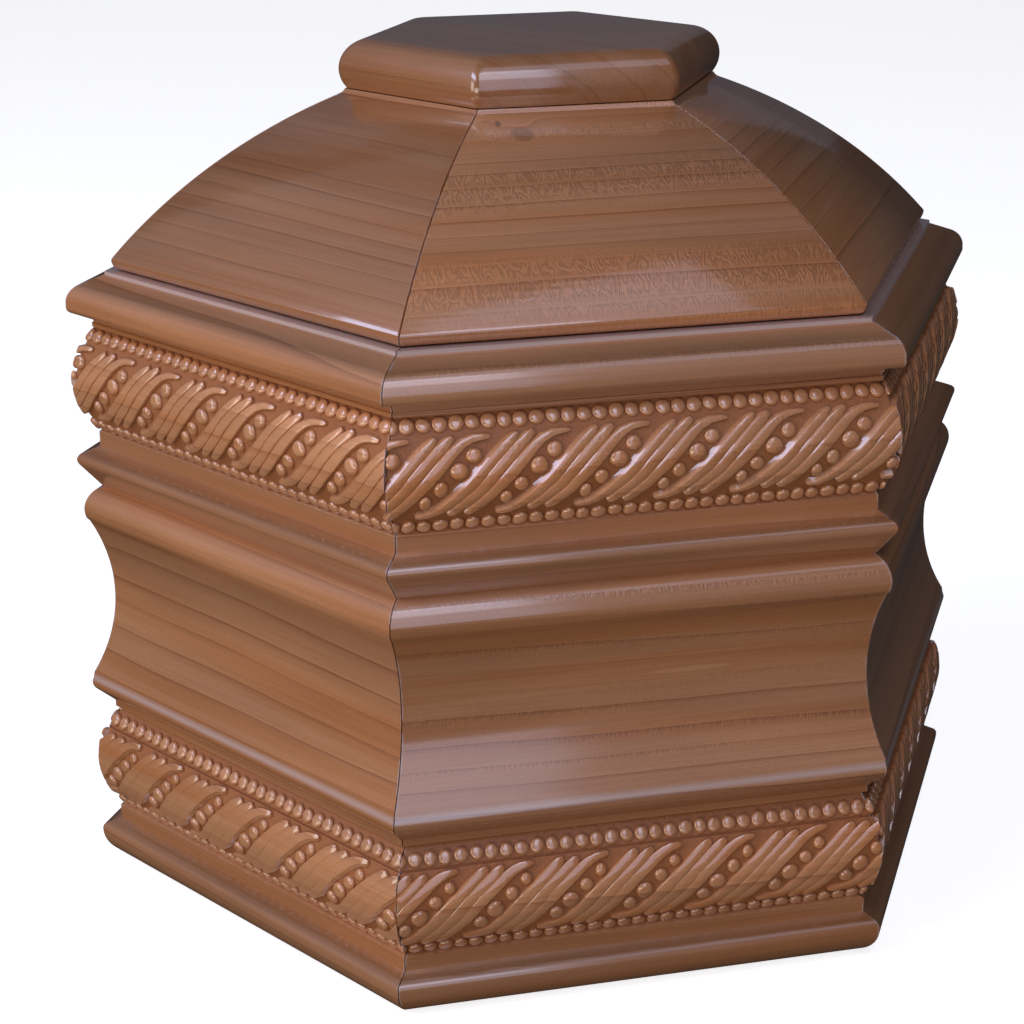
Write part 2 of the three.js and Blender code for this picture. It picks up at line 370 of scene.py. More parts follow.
@dataclass(frozen=True)
class VarnishedWood:
    """Stained softwood under a glossy varnish. Lengths are in millimetres.

    The piece's mesh holds these attributes: grain, the place in the board with X along the fibres; seat,
    the place on the piece as it faces -Y; stain, how far a point lies sunk in the carving, giving the
    sunk ground its own colour and painting shade into crevice lines and the feet of carved walls; carved,
    whether it was carved; torn, how far the plane tore the grain; glaze_and_highlight, where varnish has
    dried clouded, with painted highlights and reflections on the lower nose, the ledge strip and the mitre
    lines;
    tone, how light the board is, with painted shade and painted highlight added on the sides
    and painted shade darkening the cap.
    """

    name: str
    pale: Colour = (0.50, 0.232, 0.108, 1.0)
    warm: Colour = (0.46, 0.182, 0.066, 1.0)
    line: Colour = (0.23, 0.072, 0.026, 1.0)
    # Colour of the sunk ground, also the colour of painted shade along crevice lines and carved feet.
    recess_stain_and_shade: Colour = (0.33, 0.108, 0.028, 1.0)
    # Clouded varnish colour, also used for painted highlights and painted reflections.
    cloudy_and_highlight: Colour = (0.60, 0.53, 0.53, 1.0)
    heart: Pair = (-60.0, -420.0)
    ring: float = 6.6
    waver: float = 16.0
    curl: float = 0.11
    thread: float = 0.05
    # Strength along the mitre lines: clouded varnish and painted highlight.
    seam_glaze_and_highlight: float = 0.5
    torn: Pair = (0.6, 0.92)
    uneven: float = 0.03
    roughness: float = 0.34
    coat: float = 1.0
    coat_roughness: float = 0.1
    coat_ior: float = 1.75
    marks: tuple[Mark, ...] = ()

    def material(self) -> bpy.types.Material:
        """Builds the finish.

        Returns:
            The material.
        """
        graph = Graph(self.name)
        place = graph.millimetres(graph.own("grain", "Vector"))
        late, part = self.rings(graph, place)
        worms = self.worms(graph, place, part)
        fibre = graph.noise(place, 1.5, 3.0, 0.55, along=0.014)
        cloud = graph.noise(place, 0.05, 3.0, along=0.15)
        streak = graph.noise(place, 0.1, 2.0, 0.55, along=0.035)
        # Lightness from grain and board, times the per-vertex lightness, which holds painted shade and
        # painted highlight.
        tone = graph.product(
            graph.span(fibre, 0.3, 0.72, 0.94, 1.05),
            graph.span(cloud, 0.3, 0.7, 0.87, 1.1),
            graph.span(graph.noise(place, 2.1, 2.0), 0.25, 0.75, 0.94, 1.06),
            graph.span(part, 0.0, 0.11, 1.0 + self.thread, 1.0),
            graph.sum("MULTIPLY_ADD", worms, self.curl, 1.0),
            graph.own("tone", "Fac"),
        )
        grey = graph.node("ShaderNodeCombineColor")
        for socket in grey.inputs:
            graph.put(socket, tone)
        ground = graph.mix(graph.span(streak, 0.4, 0.66), self.pale, self.warm)
        colour = graph.mix(1.0, graph.mix(late, ground, self.line), grey.outputs[0], "MULTIPLY")
        for mark in self.marks:
            share = graph.span(mark.away(graph, place), 0.7, 1.1, mark.strength, 0.0)
            colour = graph.mix(share, colour, mark.colour)
        # Mixes towards the sunk ground's colour: its own colour on the ground, painted shade along crevice
        # lines and up carved feet, and a darkening at the lid panels' foot.
        stain = graph.product(graph.own("stain", "Fac"), graph.span(cloud, 0.2, 0.8, 0.8, 1.0))
        colour = graph.mix(graph.sum("MULTIPLY", stain, 0.92, clamp=True), colour, self.recess_stain_and_shade)
        # Clouded varnish, with painted highlights and painted reflections on the lower nose, the ledge strip
        # and the mitre lines.
        colour = graph.mix(self.glaze_and_highlight(graph, place), colour, self.cloudy_and_highlight)
        graph.shade("Base Color", colour)
        gloss = graph.span(fibre, 0.25, 0.75, self.roughness - 0.04, self.roughness + 0.05)
        graph.shade("Roughness", graph.sum("MULTIPLY_ADD", stain, 0.25, gloss))
        graph.shade("Coat Weight", self.coat)
        graph.shade("Coat Roughness", self.coat_roughness)
        graph.shade("Coat IOR", self.coat_ior)
        bump = graph.node("ShaderNodeBump")
        graph.put(bump.inputs["Strength"], 1.0)
        graph.put(bump.inputs["Distance"], self.uneven * MM)
        graph.put(bump.inputs["Height"], self.relief(graph, place, fibre, worms))
        graph.shade("Normal", bump.outputs[0])
        return graph.material

    def relief(self, graph: Graph, place: Socket, fibre: Socket, worms: Socket) -> Socket:
        """Fine unevenness: fibres and torn grain all over, gouge marks on carved parts.

        Args:
            graph: The finish's node tree.
            place: Place in the board in millimetres.
            fibre: Tone of the fibres.
            worms: Height lines of the torn grain.

        Returns:
            Height in units of the finish's own unevenness.
        """
        gouge = graph.noise(place, 0.8, 2.0, 0.55, along=0.8)
        gouge = graph.product(gouge, graph.own("carved", "Fac"), 4.0)
        wave = graph.noise(place, 0.09, 1.0, along=0.12)
        height = graph.sum("MULTIPLY_ADD", fibre, 0.35, gouge)
        height = graph.sum("MULTIPLY_ADD", wave, 9.0, height)
        return graph.sum("MULTIPLY_ADD", worms, 9.0 * self.curl, height)

    def rings(self, graph: Graph, place: Socket) -> tuple[Socket, Socket]:
        """Growth rings, cut as the board was sawn.

        Args:
            graph: The finish's node tree.
            place: Place in the board in millimetres.

        Returns:
            The late wood, from 0 to 1 at a ring's outer edge, and the part of the ring at a place.
        """
        drift = graph.noise(place, 0.014, 1.5, along=0.3)
        shiver = graph.noise(place, 0.3, 2.0, along=0.05)
        across = graph.vector("SUBTRACT", graph.stretch(place, (0, 1, 1)), (0, *self.heart))
        reach = graph.vector("LENGTH", across)
        reach = graph.sum("MULTIPLY_ADD", drift, self.waver, reach)
        reach = graph.sum("MULTIPLY_ADD", shiver, 0.16 * self.ring, reach)
        season = graph.noise(place, 0.06, 0.0, along=0.01)
        reach = graph.sum("MULTIPLY_ADD", season, 1.6 * self.ring, reach)
        for mark in self.marks:
            near = graph.span(mark.away(graph, place), 0.6, 3.2, mark.swell, 0.0)
            reach = graph.sum("ADD", reach, near)
        count = graph.sum("DIVIDE", reach, self.ring)
        part = graph.sum("FRACT", count)
        strong = graph.node("ShaderNodeTexWhiteNoise", noise_dimensions="1D")
        graph.put(strong.inputs["W"], graph.sum("FLOOR", count))
        weight = graph.span(strong.outputs["Value"], 0.2, 1.0, 0.12, 1.0)
        slow = graph.product(part, part, 0.16)
        rise = graph.sum("MULTIPLY_ADD", graph.sum("POWER", part, 12.0), 0.8, slow)
        late = graph.product(rise, graph.span(part, 0.965, 1.0, 1.0, 0.0), weight)
        return late, part

    def worms(self, graph: Graph, place: Socket, part: Socket) -> Socket:
        """Torn grain: short wriggling height lines in some bands of the board.

        Args:
            graph: The finish's node tree.
            place: Place in the board in millimetres.
            part: Part of the growth ring that a place lies in.

        Returns:
            Height from -1 to 1.
        """
        lie = graph.noise(graph.stretch(place, (1.0, 0.42, 0.42)), 0.42, 1.0)
        lines = graph.sum("PINGPONG", graph.sum("MULTIPLY", lie, 5.5), 0.5)
        where = graph.noise(place, 0.075, 1.0, along=0.05)
        return graph.product(
            graph.span(where, 0.45, 0.58),
            graph.span(part, *self.torn),
            graph.sum("MULTIPLY_ADD", lines, 4.0, -1.0),
            graph.own("torn", "Fac"),
        )

    def glaze_and_highlight(self, graph: Graph, place: Socket) -> Socket:
        """Share of clouded varnish and painted highlight: marked strips, and broken lines along the mitred
        ends.
        """
        split = graph.node("ShaderNodeSeparateXYZ")
        graph.put(split.inputs[0], graph.millimetres(graph.own("seat", "Vector")))
        aside = graph.sum("ABSOLUTE", split.outputs["X"])
        depth = graph.sum("MULTIPLY", split.outputs["Y"], -math.sin(SECTOR / 2))
        end = graph.sum("MULTIPLY_ADD", aside, -math.cos(SECTOR / 2), depth)
        broken = graph.span(graph.noise(place, 0.16, 2.0), 0.46, 0.6)
        line = graph.product(graph.span(end, 0.2, 0.6, self.seam_glaze_and_highlight, 0.0), broken)
        return graph.sum("MAXIMUM", line, graph.own("glaze_and_highlight", "Fac"))


@dataclass
class CarvedBand:
    """Round band carved with slanted strands and beads between two rows of beads.

    The carving is drawn flat: g along the band from the largest bead, s down from the band's top edge. The
    groove lies at an s; its turns are half its width at the mouth and on the floor, in degrees. The cuts slip
    aside and dip by a hand's unevenness, and all stay shy of the band's face.
    """

    bottom: float
    top: float
    lay: Lay
    phases: tuple[float, ...]
    face: float = 117.0
    sag: float = 6.0
    depth: float = 1.4
    repeat: float = 20.43
    pattern_middle: float = 17.4
    groove: float | None = None
    groove_depth: float = 0.6
    groove_turns: Pair = (0.9, 0.5)
    slip: float = 0.09
    dip: float = 0.04
    shy: float = 0.1

    @property
    def circle(self) -> Circle:
        """Circle of the band's face."""
        half = (self.top - self.bottom) / 2
        radius = (half * half + self.sag * self.sag) / (2 * self.sag)
        return Circle(self.face - radius, self.bottom + half, radius)

    @property
    def reach(self) -> float:
        """Half the angle that the band turns through, in radians."""
        return math.asin((self.top - self.bottom) / 2 / self.circle.r)

    def ground(self) -> Outline:
        """Section of the sunk ground from its lower edge up, with the groove beside one row of beads."""
        sunk = Circle(self.circle.a, self.circle.z, self.circle.r - self.depth)
        end = math.degrees(self.reach)
        if self.groove is None:
            return sunk.arc(-end, end, 1.3)
        floor = Circle(sunk.a, sunk.z, sunk.r - self.groove_depth)
        mouth, foot = self.groove_turns
        turn = math.degrees(self.lay.value * (self.pattern_middle - self.groove) / self.circle.r)
        return [
            *sunk.arc(-end, turn - mouth, 1.3),
            *floor.arc(turn - foot, turn + foot),
            *sunk.arc(turn + mouth, end, 1.3),
        ]

    def wrap(self, flat: np.ndarray, along: float) -> np.ndarray:
        """Bends flat carving onto the band.

        Args:
            flat: Places (g, -s, height over the ground) in metres.
            along: Where the carving's largest bead sits on the side, in millimetres.

        Returns:
            Places on the front side in metres.
        """
        circle = self.circle
        way = self.lay.value
        x = flat[:, 0] / MM + way * along
        y = flat[:, 1] / MM
        over = flat[:, 2] > 0
        slip = np.sin(0.61 * x + 0.37 * y) + np.sin(0.83 * y - 0.43 * x) + np.sin(0.31 * x + 3.1)
        slip *= self.slip
        sink = self.dip * (np.sin(0.83 * x - 0.5 * y) + np.sin(0.47 * x + 0.7 * y) - 2) * over
        angle = way * (self.pattern_middle * MM + flat[:, 1] + slip * MM) / (circle.r * MM)
        radius = (circle.r - self.depth) * MM + flat[:, 2] + (sink - self.shy * over) * MM
        return np.column_stack(
            (
                along * MM + way * (flat[:, 0] + slip * MM),
                -(circle.a * MM + radius * np.cos(angle)),
                circle.z * MM + radius * np.sin(angle),
            )
        )

    def inside(self, places: np.ndarray) -> np.ndarray:
        """Tells which places lie on the band, as 0 or 1."""
        height = places[:, 2] / MM
        front = -places[:, 1] / MM > self.face - self.sag - 2 * self.depth
        return ((height > self.bottom) & (height < self.top) & front).astype(float)

    def sunk(self, places: np.ndarray) -> np.ndarray:
        """How deep places lie under the band's face, from 0 at the face to 1 on the ground."""
        circle = self.circle
        radius = np.hypot(-places[:, 1] / MM - circle.a, places[:, 2] / MM - circle.z)
        share = np.clip(((circle.r - radius) / self.depth - 0.4) / 0.6, 0, 1)
        return self.inside(places) * share * share * (3 - 2 * share)


@dataclass
class CarvingTools:
    """One strand of each kind and one bead, modelled flat and laid along the bands."""

    bead_pitch: float = 4.086
    spread: float = 1.1
    strands: tuple[tuple[Triple, ...], ...] = (
        (
            (-10.8, 27.6, 1.2), (-10.0, 27.35, 1.9), (-8.8, 27.1, 2.2), (-7.4, 26.8, 2.4),
            (-5.8, 26.1, 2.7), (-3.7, 24.8, 3.0), (-1.0, 22.5, 3.3), (2.2, 19.6, 3.3), (5.0, 16.5, 3.3),
            (7.8, 13.2, 3.2), (10.6, 10.3, 3.1), (12.8, 8.3, 2.9), (14.2, 7.1, 2.5), (15.0, 6.4, 1.6),
        ),
        (
            (-2.6, 27.5, 1.4), (-1.8, 26.9, 2.3), (-0.6, 25.9, 2.7), (1.2, 24.4, 2.9), (3.5, 22.4, 3.0),
            (6.0, 20.0, 3.1), (8.2, 17.3, 3.2), (10.5, 14.7, 3.2), (13.0, 12.1, 3.2), (15.3, 9.8, 3.1),
            (17.2, 8.1, 2.8), (18.6, 6.9, 2.4), (19.3, 6.3, 1.5),
        ),
        (
            (1.8, 27.5, 1.4), (2.6, 26.9, 2.3), (3.8, 25.9, 2.7), (5.5, 24.5, 2.9), (7.9, 22.2, 3.0),
            (10.3, 19.7, 3.1), (12.9, 17.0, 3.4), (15.3, 14.3, 3.4), (17.6, 11.8, 3.2), (19.7, 9.8, 2.9),
            (21.8, 8.2, 2.6), (24.2, 7.3, 2.2), (26.5, 6.9, 1.9), (28.2, 6.75, 1.6), (29.0, 6.7, 0.9),
        ),
    )
    group_beads: tuple[tuple[float, float, float, float], ...] = (
        (0.0, 15.5, 4.8, 4.8), (3.93, 11.6, 4.0, 4.0), (-4.5, 19.8, 3.8, 4.1), (-8.4, 23.4, 3.1, 3.7),
    )
    row_beads: tuple[tuple[float, float, float, float], ...] = (
        (0.35, 2.75, 4.06, 4.3), (0.1, 32.0, 3.9, 4.4),
    )
    row_height: float = 0.9
    height: float = 1.5
    root: float = 0.5
    flanks: tuple[Pair, ...] = ((1.2, 0.12), (0.8, 0.42), (0.8, 0.42))
    bead_radius: float = 2.0
    bead_round: float = 1.0
    models: list[Shape] = field(default_factory=list)
    bead_model: Shape | None = None

    def make(self) -> None:
        """Models each strand and the bead once."""
        self.models = [self.take(self.strand(*both)) for both in zip(self.strands, self.flanks)]
        self.bead_model = self.take(self.bead())

    def take(self, piece: Piece) -> Shape:
        """Reads a modelled shape and puts the piece away.

        Args:
            piece: The modelled piece.

        Returns:
            Its places in metres and its faces.
        """
        Bench.clear()
        places = Marking.places(piece)
        faces = [tuple(p.vertices) for p in piece.data.polygons]
        Bench.drop(piece)
        return places, faces

    def outline(self, width: float, flank: float, wall: float) -> Outline:
        """Section across a strand: a sloping upper flank, a flat top and a steep lower wall.

        Args:
            width: Width at the foot in millimetres.
            flank: Width of the upper flank where the strand is full, in millimetres.
            wall: Share of the height at which the flank starts.

        Returns:
            Points (across, height) in millimetres, from the upper foot over to the lower foot.
        """
        half = width / 2
        full = min(1.0, width / 2.6)
        tall = self.height * (0.5 + 0.5 * full)
        flank *= full
        return [
            (half, -self.root),
            (half - 0.03, wall * tall),
            (half - 0.5 * flank, (0.48 + 0.5 * wall) * tall),
            (half - flank, 0.95 * tall),
            (half - flank - 0.4 * full, tall),
            (-half + 0.5 * full, tall),
            (-half + 0.16 * full, 0.9 * tall),
            (-half + 0.04, 0.5 * tall),
            (-half, -self.root),
        ]

    def strand(self, stations: Sequence[Triple], flank: Pair) -> Piece:
        """Models a strand by drawing a face out from station to station.

        Args:
            stations: Middle of the strand as (g, s) and its width at the foot, from tip to tip.
            flank: Width of its upper flank in millimetres, and the share of its height where that starts.

        Returns:
            The strand, lying flat with its foot under the ground.
        """
        Bench.clear()
        spots = [Vector((g, -s, 0)) * MM for g, s, _ in stations]
        outlines = [self.outline(width * self.spread, *flank) for *_, width in stations]
        bpy.ops.mesh.primitive_circle_add(vertices=len(outlines[0]), radius=0.5, fill_type="NGON")
        piece = bpy.context.object
        Bench.edit(piece, "FACE")
        bpy.ops.transform.rotate(value=math.pi / 2, orient_axis="X", center_override=(0, 0, 0))
        bpy.ops.transform.translate(value=spots[0])
        for i in range(1, len(spots)):
            Bench.draw_out([spots[i] - spots[i - 1]])
        Bench.clear()
        self.shape_strand(piece, spots, outlines)
        Bench.edit(piece)
        Bench.clean()
        Bench.clear()
        return piece

    def shape_strand(self, piece: Piece, spots: list[Vector], outlines: list[Outline]) -> None:
        """Sets each station of a drawn-out strand square to its run, with its own section.

        Args:
            piece: The drawn-out strand, one ring of vertices at each station.
            spots: Middles of the stations in metres.
            outlines: Sections of the stations.
        """
        places = [v.co.copy() for v in piece.data.vertices]
        for i, spot in enumerate(spots):
            run = (spots[min(i + 1, len(spots) - 1)] - spots[max(i - 1, 0)]).normalized()
            side = Vector((-run.y, run.x, 0))
            own = [k for k, place in enumerate(places) if abs(place.y - spot.y) < DOUBLES]
            turns = {k: math.degrees(math.atan2(places[k].z, places[k].x - spot.x)) for k in own}
            own.sort(key=lambda k: (270.001 - turns[k]) % 360)
            for k, (across, height) in zip(own, outlines[i]):
                piece.data.vertices[k].co = spot + side * across * MM + Vector((0, 0, height * MM))

    def bead(self) -> Piece:
        """Models a bead from a drum with a rounded top."""
        Bench.clear()
        tall = self.height * MM
        low = -self.root * MM
        bpy.ops.mesh.primitive_cylinder_add(vertices=14, radius=self.bead_radius * MM, depth=tall - low)
        piece = bpy.context.object
        Bench.edit(piece)
        bpy.ops.transform.translate(value=(0, 0, (tall + low) / 2))
        Bench.pick(piece, lambda co: co.z > 0, "EDGE")
        bpy.ops.mesh.bevel(offset=self.bead_round * MM, segments=4, affect="EDGES", clamp_overlap=True)
        Bench.clear()
        return piece

    def lay(self, band: CarvedBand, side: int, half_length: float) -> list[Piece]:
        """Lays the carving along one side of a band.

        Args:
            band: The band.
            side: Number of the side.
            half_length: How far the side reaches from its middle, in millimetres.

        Returns:
            Solids to glue on in turn, none of which cuts itself.
        """
        phase = band.phases[side]
        turns = math.ceil((half_length + 2 * band.repeat) / band.repeat) + 1
        middles = [phase + k * band.repeat for k in range(-turns, turns + 1)]
        layers: list[list[Shape]] = [[] for _ in range(len(self.models) + 1)]
        for middle in middles:
            for layer, (places, faces) in zip(layers, self.models):
                layer.append((band.wrap(places, middle), faces))
            beads = [(*bead, 1.0) for bead in self.group_beads]
            for shift, *rest in self.row_beads:
                for k in range(round(band.repeat / self.bead_pitch)):
                    beads.append((shift + k * self.bead_pitch, *rest, self.row_height))
            places, faces = self.bead_model
            across = 2 * self.bead_radius
            for g, s, wide, tall, high in beads:
                spot = places * (wide / across, tall / across, high) + np.array((g, -s, 0)) * MM
                layers[-1].append((band.wrap(spot, middle), faces))
        return [self.gather(layer, half_length) for layer in layers]

    def gather(self, shapes: list[Shape], half_length: float) -> Piece:
        """Gathers the shapes that reach into a side in one solid.

        Args:
            shapes: Places and faces of each shape.
            half_length: How far the side reaches from its middle, in millimetres.

        Returns:
            The solid.
        """
        places: list[np.ndarray] = []
        faces: list[tuple[int, ...]] = []
        count = 0
        for own, own_faces in shapes:
            if np.abs(own[:, 0]).min() < half_length * MM:
                places.append(own)
                faces.extend(tuple(i + count for i in face) for face in own_faces)
                count += len(own)
        mesh = bpy.data.meshes.new("carving")
        mesh.from_pydata(np.vstack(places), [], faces)
        solid = bpy.data.objects.new("carving", mesh)
        bpy.context.scene.collection.objects.link(solid)
        Bench.edit(solid)
        bpy.ops.mesh.normals_make_consistent(inside=False)
        Bench.clear()
        return solid


class Marking:
    """Marks that a piece's mesh carries for its finish."""

    @staticmethod
    def places(piece: Piece) -> np.ndarray:
        """Places of a piece's vertices in metres."""
        flat = np.empty(len(piece.data.vertices) * 3)
        piece.data.vertices.foreach_get("co", flat)
        return flat.reshape(-1, 3)

    @staticmethod
    def near(places: np.ndarray, line: Triple) -> np.ndarray:
        """How near places lie to a line that runs along a side.

        Args:
            places: Places in metres on a side that faces -Y.
            line: The line's (a, z) and how far it reaches, in millimetres.

        Returns:
            A share for each place, 1 on the line.
        """
        a, z, reach = line
        away = np.hypot(-places[:, 1] / MM - a, places[:, 2] / MM - z)
        return np.exp(-((away / reach) ** 2))

    @staticmethod
    def write(piece: Piece, board: np.ndarray, seat: np.ndarray, **numbers: np.ndarray | float) -> None:
        """Writes all marks on a piece.

        Args:
            piece: The piece, facing -Y.
            board: Each vertex's place in the board, in metres, with X along the fibres.
            seat: Each vertex's place on the piece as it faces -Y, in metres.
            numbers: The other marks by name, each one number or one for each vertex; 0 if left out.
        """
        for name, values in (("grain", board), ("seat", seat)):
            mark = piece.data.attributes.new(name, "FLOAT_VECTOR", "POINT")
            mark.data.foreach_set("vector", values.astype(np.float32).ravel())
        for name in ("stain", "carved", "torn", "glaze_and_highlight", "tone"):
            mark = piece.data.attributes.new(name, "FLOAT", "POINT")
            values = np.broadcast_to(numbers.get(name, 0.0), len(piece.data.vertices))
            mark.data.foreach_set("value", values.astype(np.float32))


@dataclass
class Box:
    """Six moulded and carved sides, mitred at the corners. Lengths are in millimetres.

    Crevice lines take painted shade, painted shade lines darken the upward slopes above the base, the ridge
    and the cornice, and the top of the lower nose takes a painted highlight; each is a line along the side as
    (a, z, reach). The wood darkens below shade_height as painted shade, and polish_and_highlight lightens
    what stands proud in the carving, partly as wear from sanding and partly as painted highlight.
    """

    face: float = 117.0
    inside: float = 97.0
    rebate: Pair = (6.0, 10.0)
    top: float = 180.5
    ledge: float = 107.2
    rise: float = 0.9
    gap: float = 0.3
    lower: CarvedBand = field(
        default_factory=lambda: CarvedBand(
            16.8, 49.0, Lay.TURNED, (0.1, 9.4, 14.2, 5.7, 18.3, 2.4), pattern_middle=18.4, groove=29.2
        )
    )
    upper: CarvedBand = field(
        default_factory=lambda: CarvedBand(134.2, 165.0, Lay.UPRIGHT, (12.6, 3.2, 16.4, 8.1, 0.9, 13.05))
    )
    # Painted shade along crevice lines: the fillets and quirks beside the bands and mouldings.
    shaded_crevices: tuple[Triple, ...] = (
        (112.0, 14.1, 0.9), (110.6, 17.0, 1.0), (110.8, 48.6, 1.0), (111.5, 50.8, 0.8),
        (111.3, 118.3, 1.6), (111.0, 130.1, 0.9), (110.6, 134.6, 0.9), (110.4, 164.6, 0.9),
        (110.6, 166.6, 0.7), (111.1, 168.1, 0.7),
    )
    crevice_stain: float = 0.4
    # Painted shade on the upward slopes above the base edge, the ridge edge and the cornice.
    painted_shade_lines: tuple[Triple, ...] = (
        (115.4, 128.2, 2.2), (114.8, 12.1, 2.6), (113.0, 177.6, 2.5),
    )
    painted_shade_depth: float = 0.38
    # Painted highlight along the top of the lower nose.
    highlight_crest: Triple = (116.7, 58.9, 0.8)
    crest_highlight: float = 0.5
    # Painted reflection on the ledge strip, partly clouded varnish.
    ledge_glaze_and_reflection: float = 0.6
    # Painted shade: the sides darken towards the bottom.
    foot_tone: float = 0.88
    shade_height: float = 120.0
    # Raised carving made lighter: partly wear from sanding, partly painted highlight.
    polish_and_highlight: float = 0.3
    gouging: float = 1.5
    ground_from: float = 0.6
    tones: tuple[float, ...] = (1.0, 0.96, 1.03, 0.98, 1.0, 1.0)
    torn: tuple[float, ...] = (1.0, 0.0, 0.7, 0.0, 0.7, 0.0)
    wood: VarnishedWood = VarnishedWood(
        "side_wood",
        marks=(Mark((14.2, -110.0, 90.1), (12.0, 8.0, 0.8), (0.56, 0.28, 0.13, 1.0), 0.75, 0.9),),
    )
    ground_wood: VarnishedWood = VarnishedWood("ground_wood", roughness=0.5, coat=0.12, coat_roughness=0.3)

    def section(self) -> Outline:
        """Whole section of one side, from the foot of the rebate round by the face."""
        depth, height = self.rebate
        return [
            (self.inside + depth, 0.0),
            *ellipse((107.0, 9.3), (10.0, 9.3), -90, 0),
            (117.0, 9.9), (116.75, 10.6), (116.1, 11.2), (114.5, 11.9), (113.0, 12.4), (112.0, 12.8),
            (112.0, 16.7),
            *self.lower.ground(),
            (111.5, 49.1), (111.5, 51.0),
            *Circle(114.0, 57.4, 3.0).arc(-50, 30, 0.6),
            *Circle(160.8, 85.6, 51.0).arc(211, 154.5, 1.5)[1:],
            *Circle(109.0, 110.9, 7.0).arc(-20, 75, 0.9),
            (111.3, 118.2),
            (116.5, 124.9), (116.85, 125.6), (116.95, 126.2), (116.8, 126.9), (116.3, 127.6),
            (115.0, 128.2), (113.3, 128.9), (111.5, 129.6), (111.0, 129.9), (111.0, 134.1),
            *self.upper.ground(),
            (111.0, 165.0), (111.0, 166.1), (110.6, 166.2), (110.6, 167.0), (111.1, 167.1), (111.1, 168.2),
            *Circle(115.2, 170.9, 1.8).arc(-70, 0, 0.5),
            *Circle(111.3, 171.9, 5.7).arc(0, 68, 0.7)[1:],
            (self.ledge + 0.4, self.top - self.rise - 0.12), (self.ledge, self.top - self.rise),
            (self.ledge, self.top),
            (self.inside, self.top),
            (self.inside, height),
            (self.inside + depth, height),
        ]

    def mitre(self) -> Piece:
        """Models the three-cornered prism that a side keeps, drawn back by half the gap at each joint."""
        Bench.clear()
        reach = 140.0
        radius = reach * 2 / 3
        length, middle = 0.6, 0.1
        bpy.ops.mesh.primitive_cylinder_add(vertices=3, radius=radius * MM, depth=length)
        prism = bpy.context.object
        prism.name = "mitre"
        Bench.edit(prism)
        bpy.ops.transform.translate(value=(0, -(radius + self.gap) * MM, middle))
        Bench.clear()
        return prism

    def build(self, tools: Sequence[CarvingTools], prism: Piece) -> None:
        """Models the six sides in their places.

        Args:
            tools: The carving shapes of the upper and the lower band.
            prism: The mitre prism.
        """
        blank = Bench.moulding("blank", self.section())
        finishes = [self.wood.material(), self.ground_wood.material()]
        half = self.face * math.tan(SECTOR / 2)
        for number, name in enumerate(SIDE_NAMES):
            side = Bench.copy(blank, f"carved_side_{name}")
            for band, shapes in zip((self.upper, self.lower), tools):
                for solid in shapes.lay(band, number, half):
                    Bench.work(side, solid, Joinery.GLUE)
                    Bench.drop(solid)
            Bench.work(side, prism, Joinery.KEEP_INSIDE)
            self.dress(side, number, finishes)
            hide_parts(f"side_{name}")
            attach(side, "root")
            LOG.info("%s: %d faces", side.name, len(side.data.polygons))
        Bench.drop(blank)

    def dress(self, side: Piece, number: int, finishes: list[bpy.types.Material]) -> None:
        """Marks a side's wood, its sunk ground, painted shade and painted highlights, and turns it to its
        place.

        Args:
            side: The side, facing -Y.
            number: Number of the side, anticlockwise from the front.
            finishes: The wood and the sunk ground of the carving.
        """
        places = Marking.places(side)
        shift = np.array((0.41 * number, 0.0045 * ((number * 2) % 5), -0.011 * ((number * 3) % 7)))
        depth = np.maximum(self.upper.sunk(places), self.lower.sunk(places))
        low = [int(depth[list(p.vertices)].min() > self.ground_from) for p in side.data.polygons]
        # Painted shade along crevice lines, added to the sunk depth.
        for line in self.shaded_crevices:
            depth = np.maximum(depth, self.crevice_stain * Marking.near(places, line))
        # Painted reflection on the ledge strip and painted highlight on the lower nose, with clouded varnish.
        strip = places[:, 2] > (self.top - self.rise - 0.05) * MM
        strip &= -places[:, 1] > (self.ledge - 0.3) * MM
        glaze_and_highlight = self.ledge_glaze_and_reflection * strip + self.crest_highlight * Marking.near(places, self.highlight_crest)
        carved = self.upper.inside(places) + self.lower.inside(places)
        gouged = carved * (1 + self.gouging * depth)
        # Painted shade: darker towards the bottom of the side.
        rise = np.clip(places[:, 2] / MM / self.shade_height, 0, 1)
        tone = self.tones[number] * (self.foot_tone + (1 - self.foot_tone) * rise)
        # Painted shade on the upward slopes.
        for line in self.painted_shade_lines:
            tone *= 1 - self.painted_shade_depth * Marking.near(places, line)
        # Raised carving lighter: wear from sanding and painted highlight.
        tone *= 1 + self.polish_and_highlight * carved * (1 - depth)
        numbers = {"stain": depth, "glaze_and_highlight": glaze_and_highlight, "carved": gouged, "torn": self.torn[number], "tone": tone}
        Marking.write(side, places + shift, places, **numbers)
        Bench.finish(side, finishes, number)
        side.data.polygons.foreach_set("material_index", low)


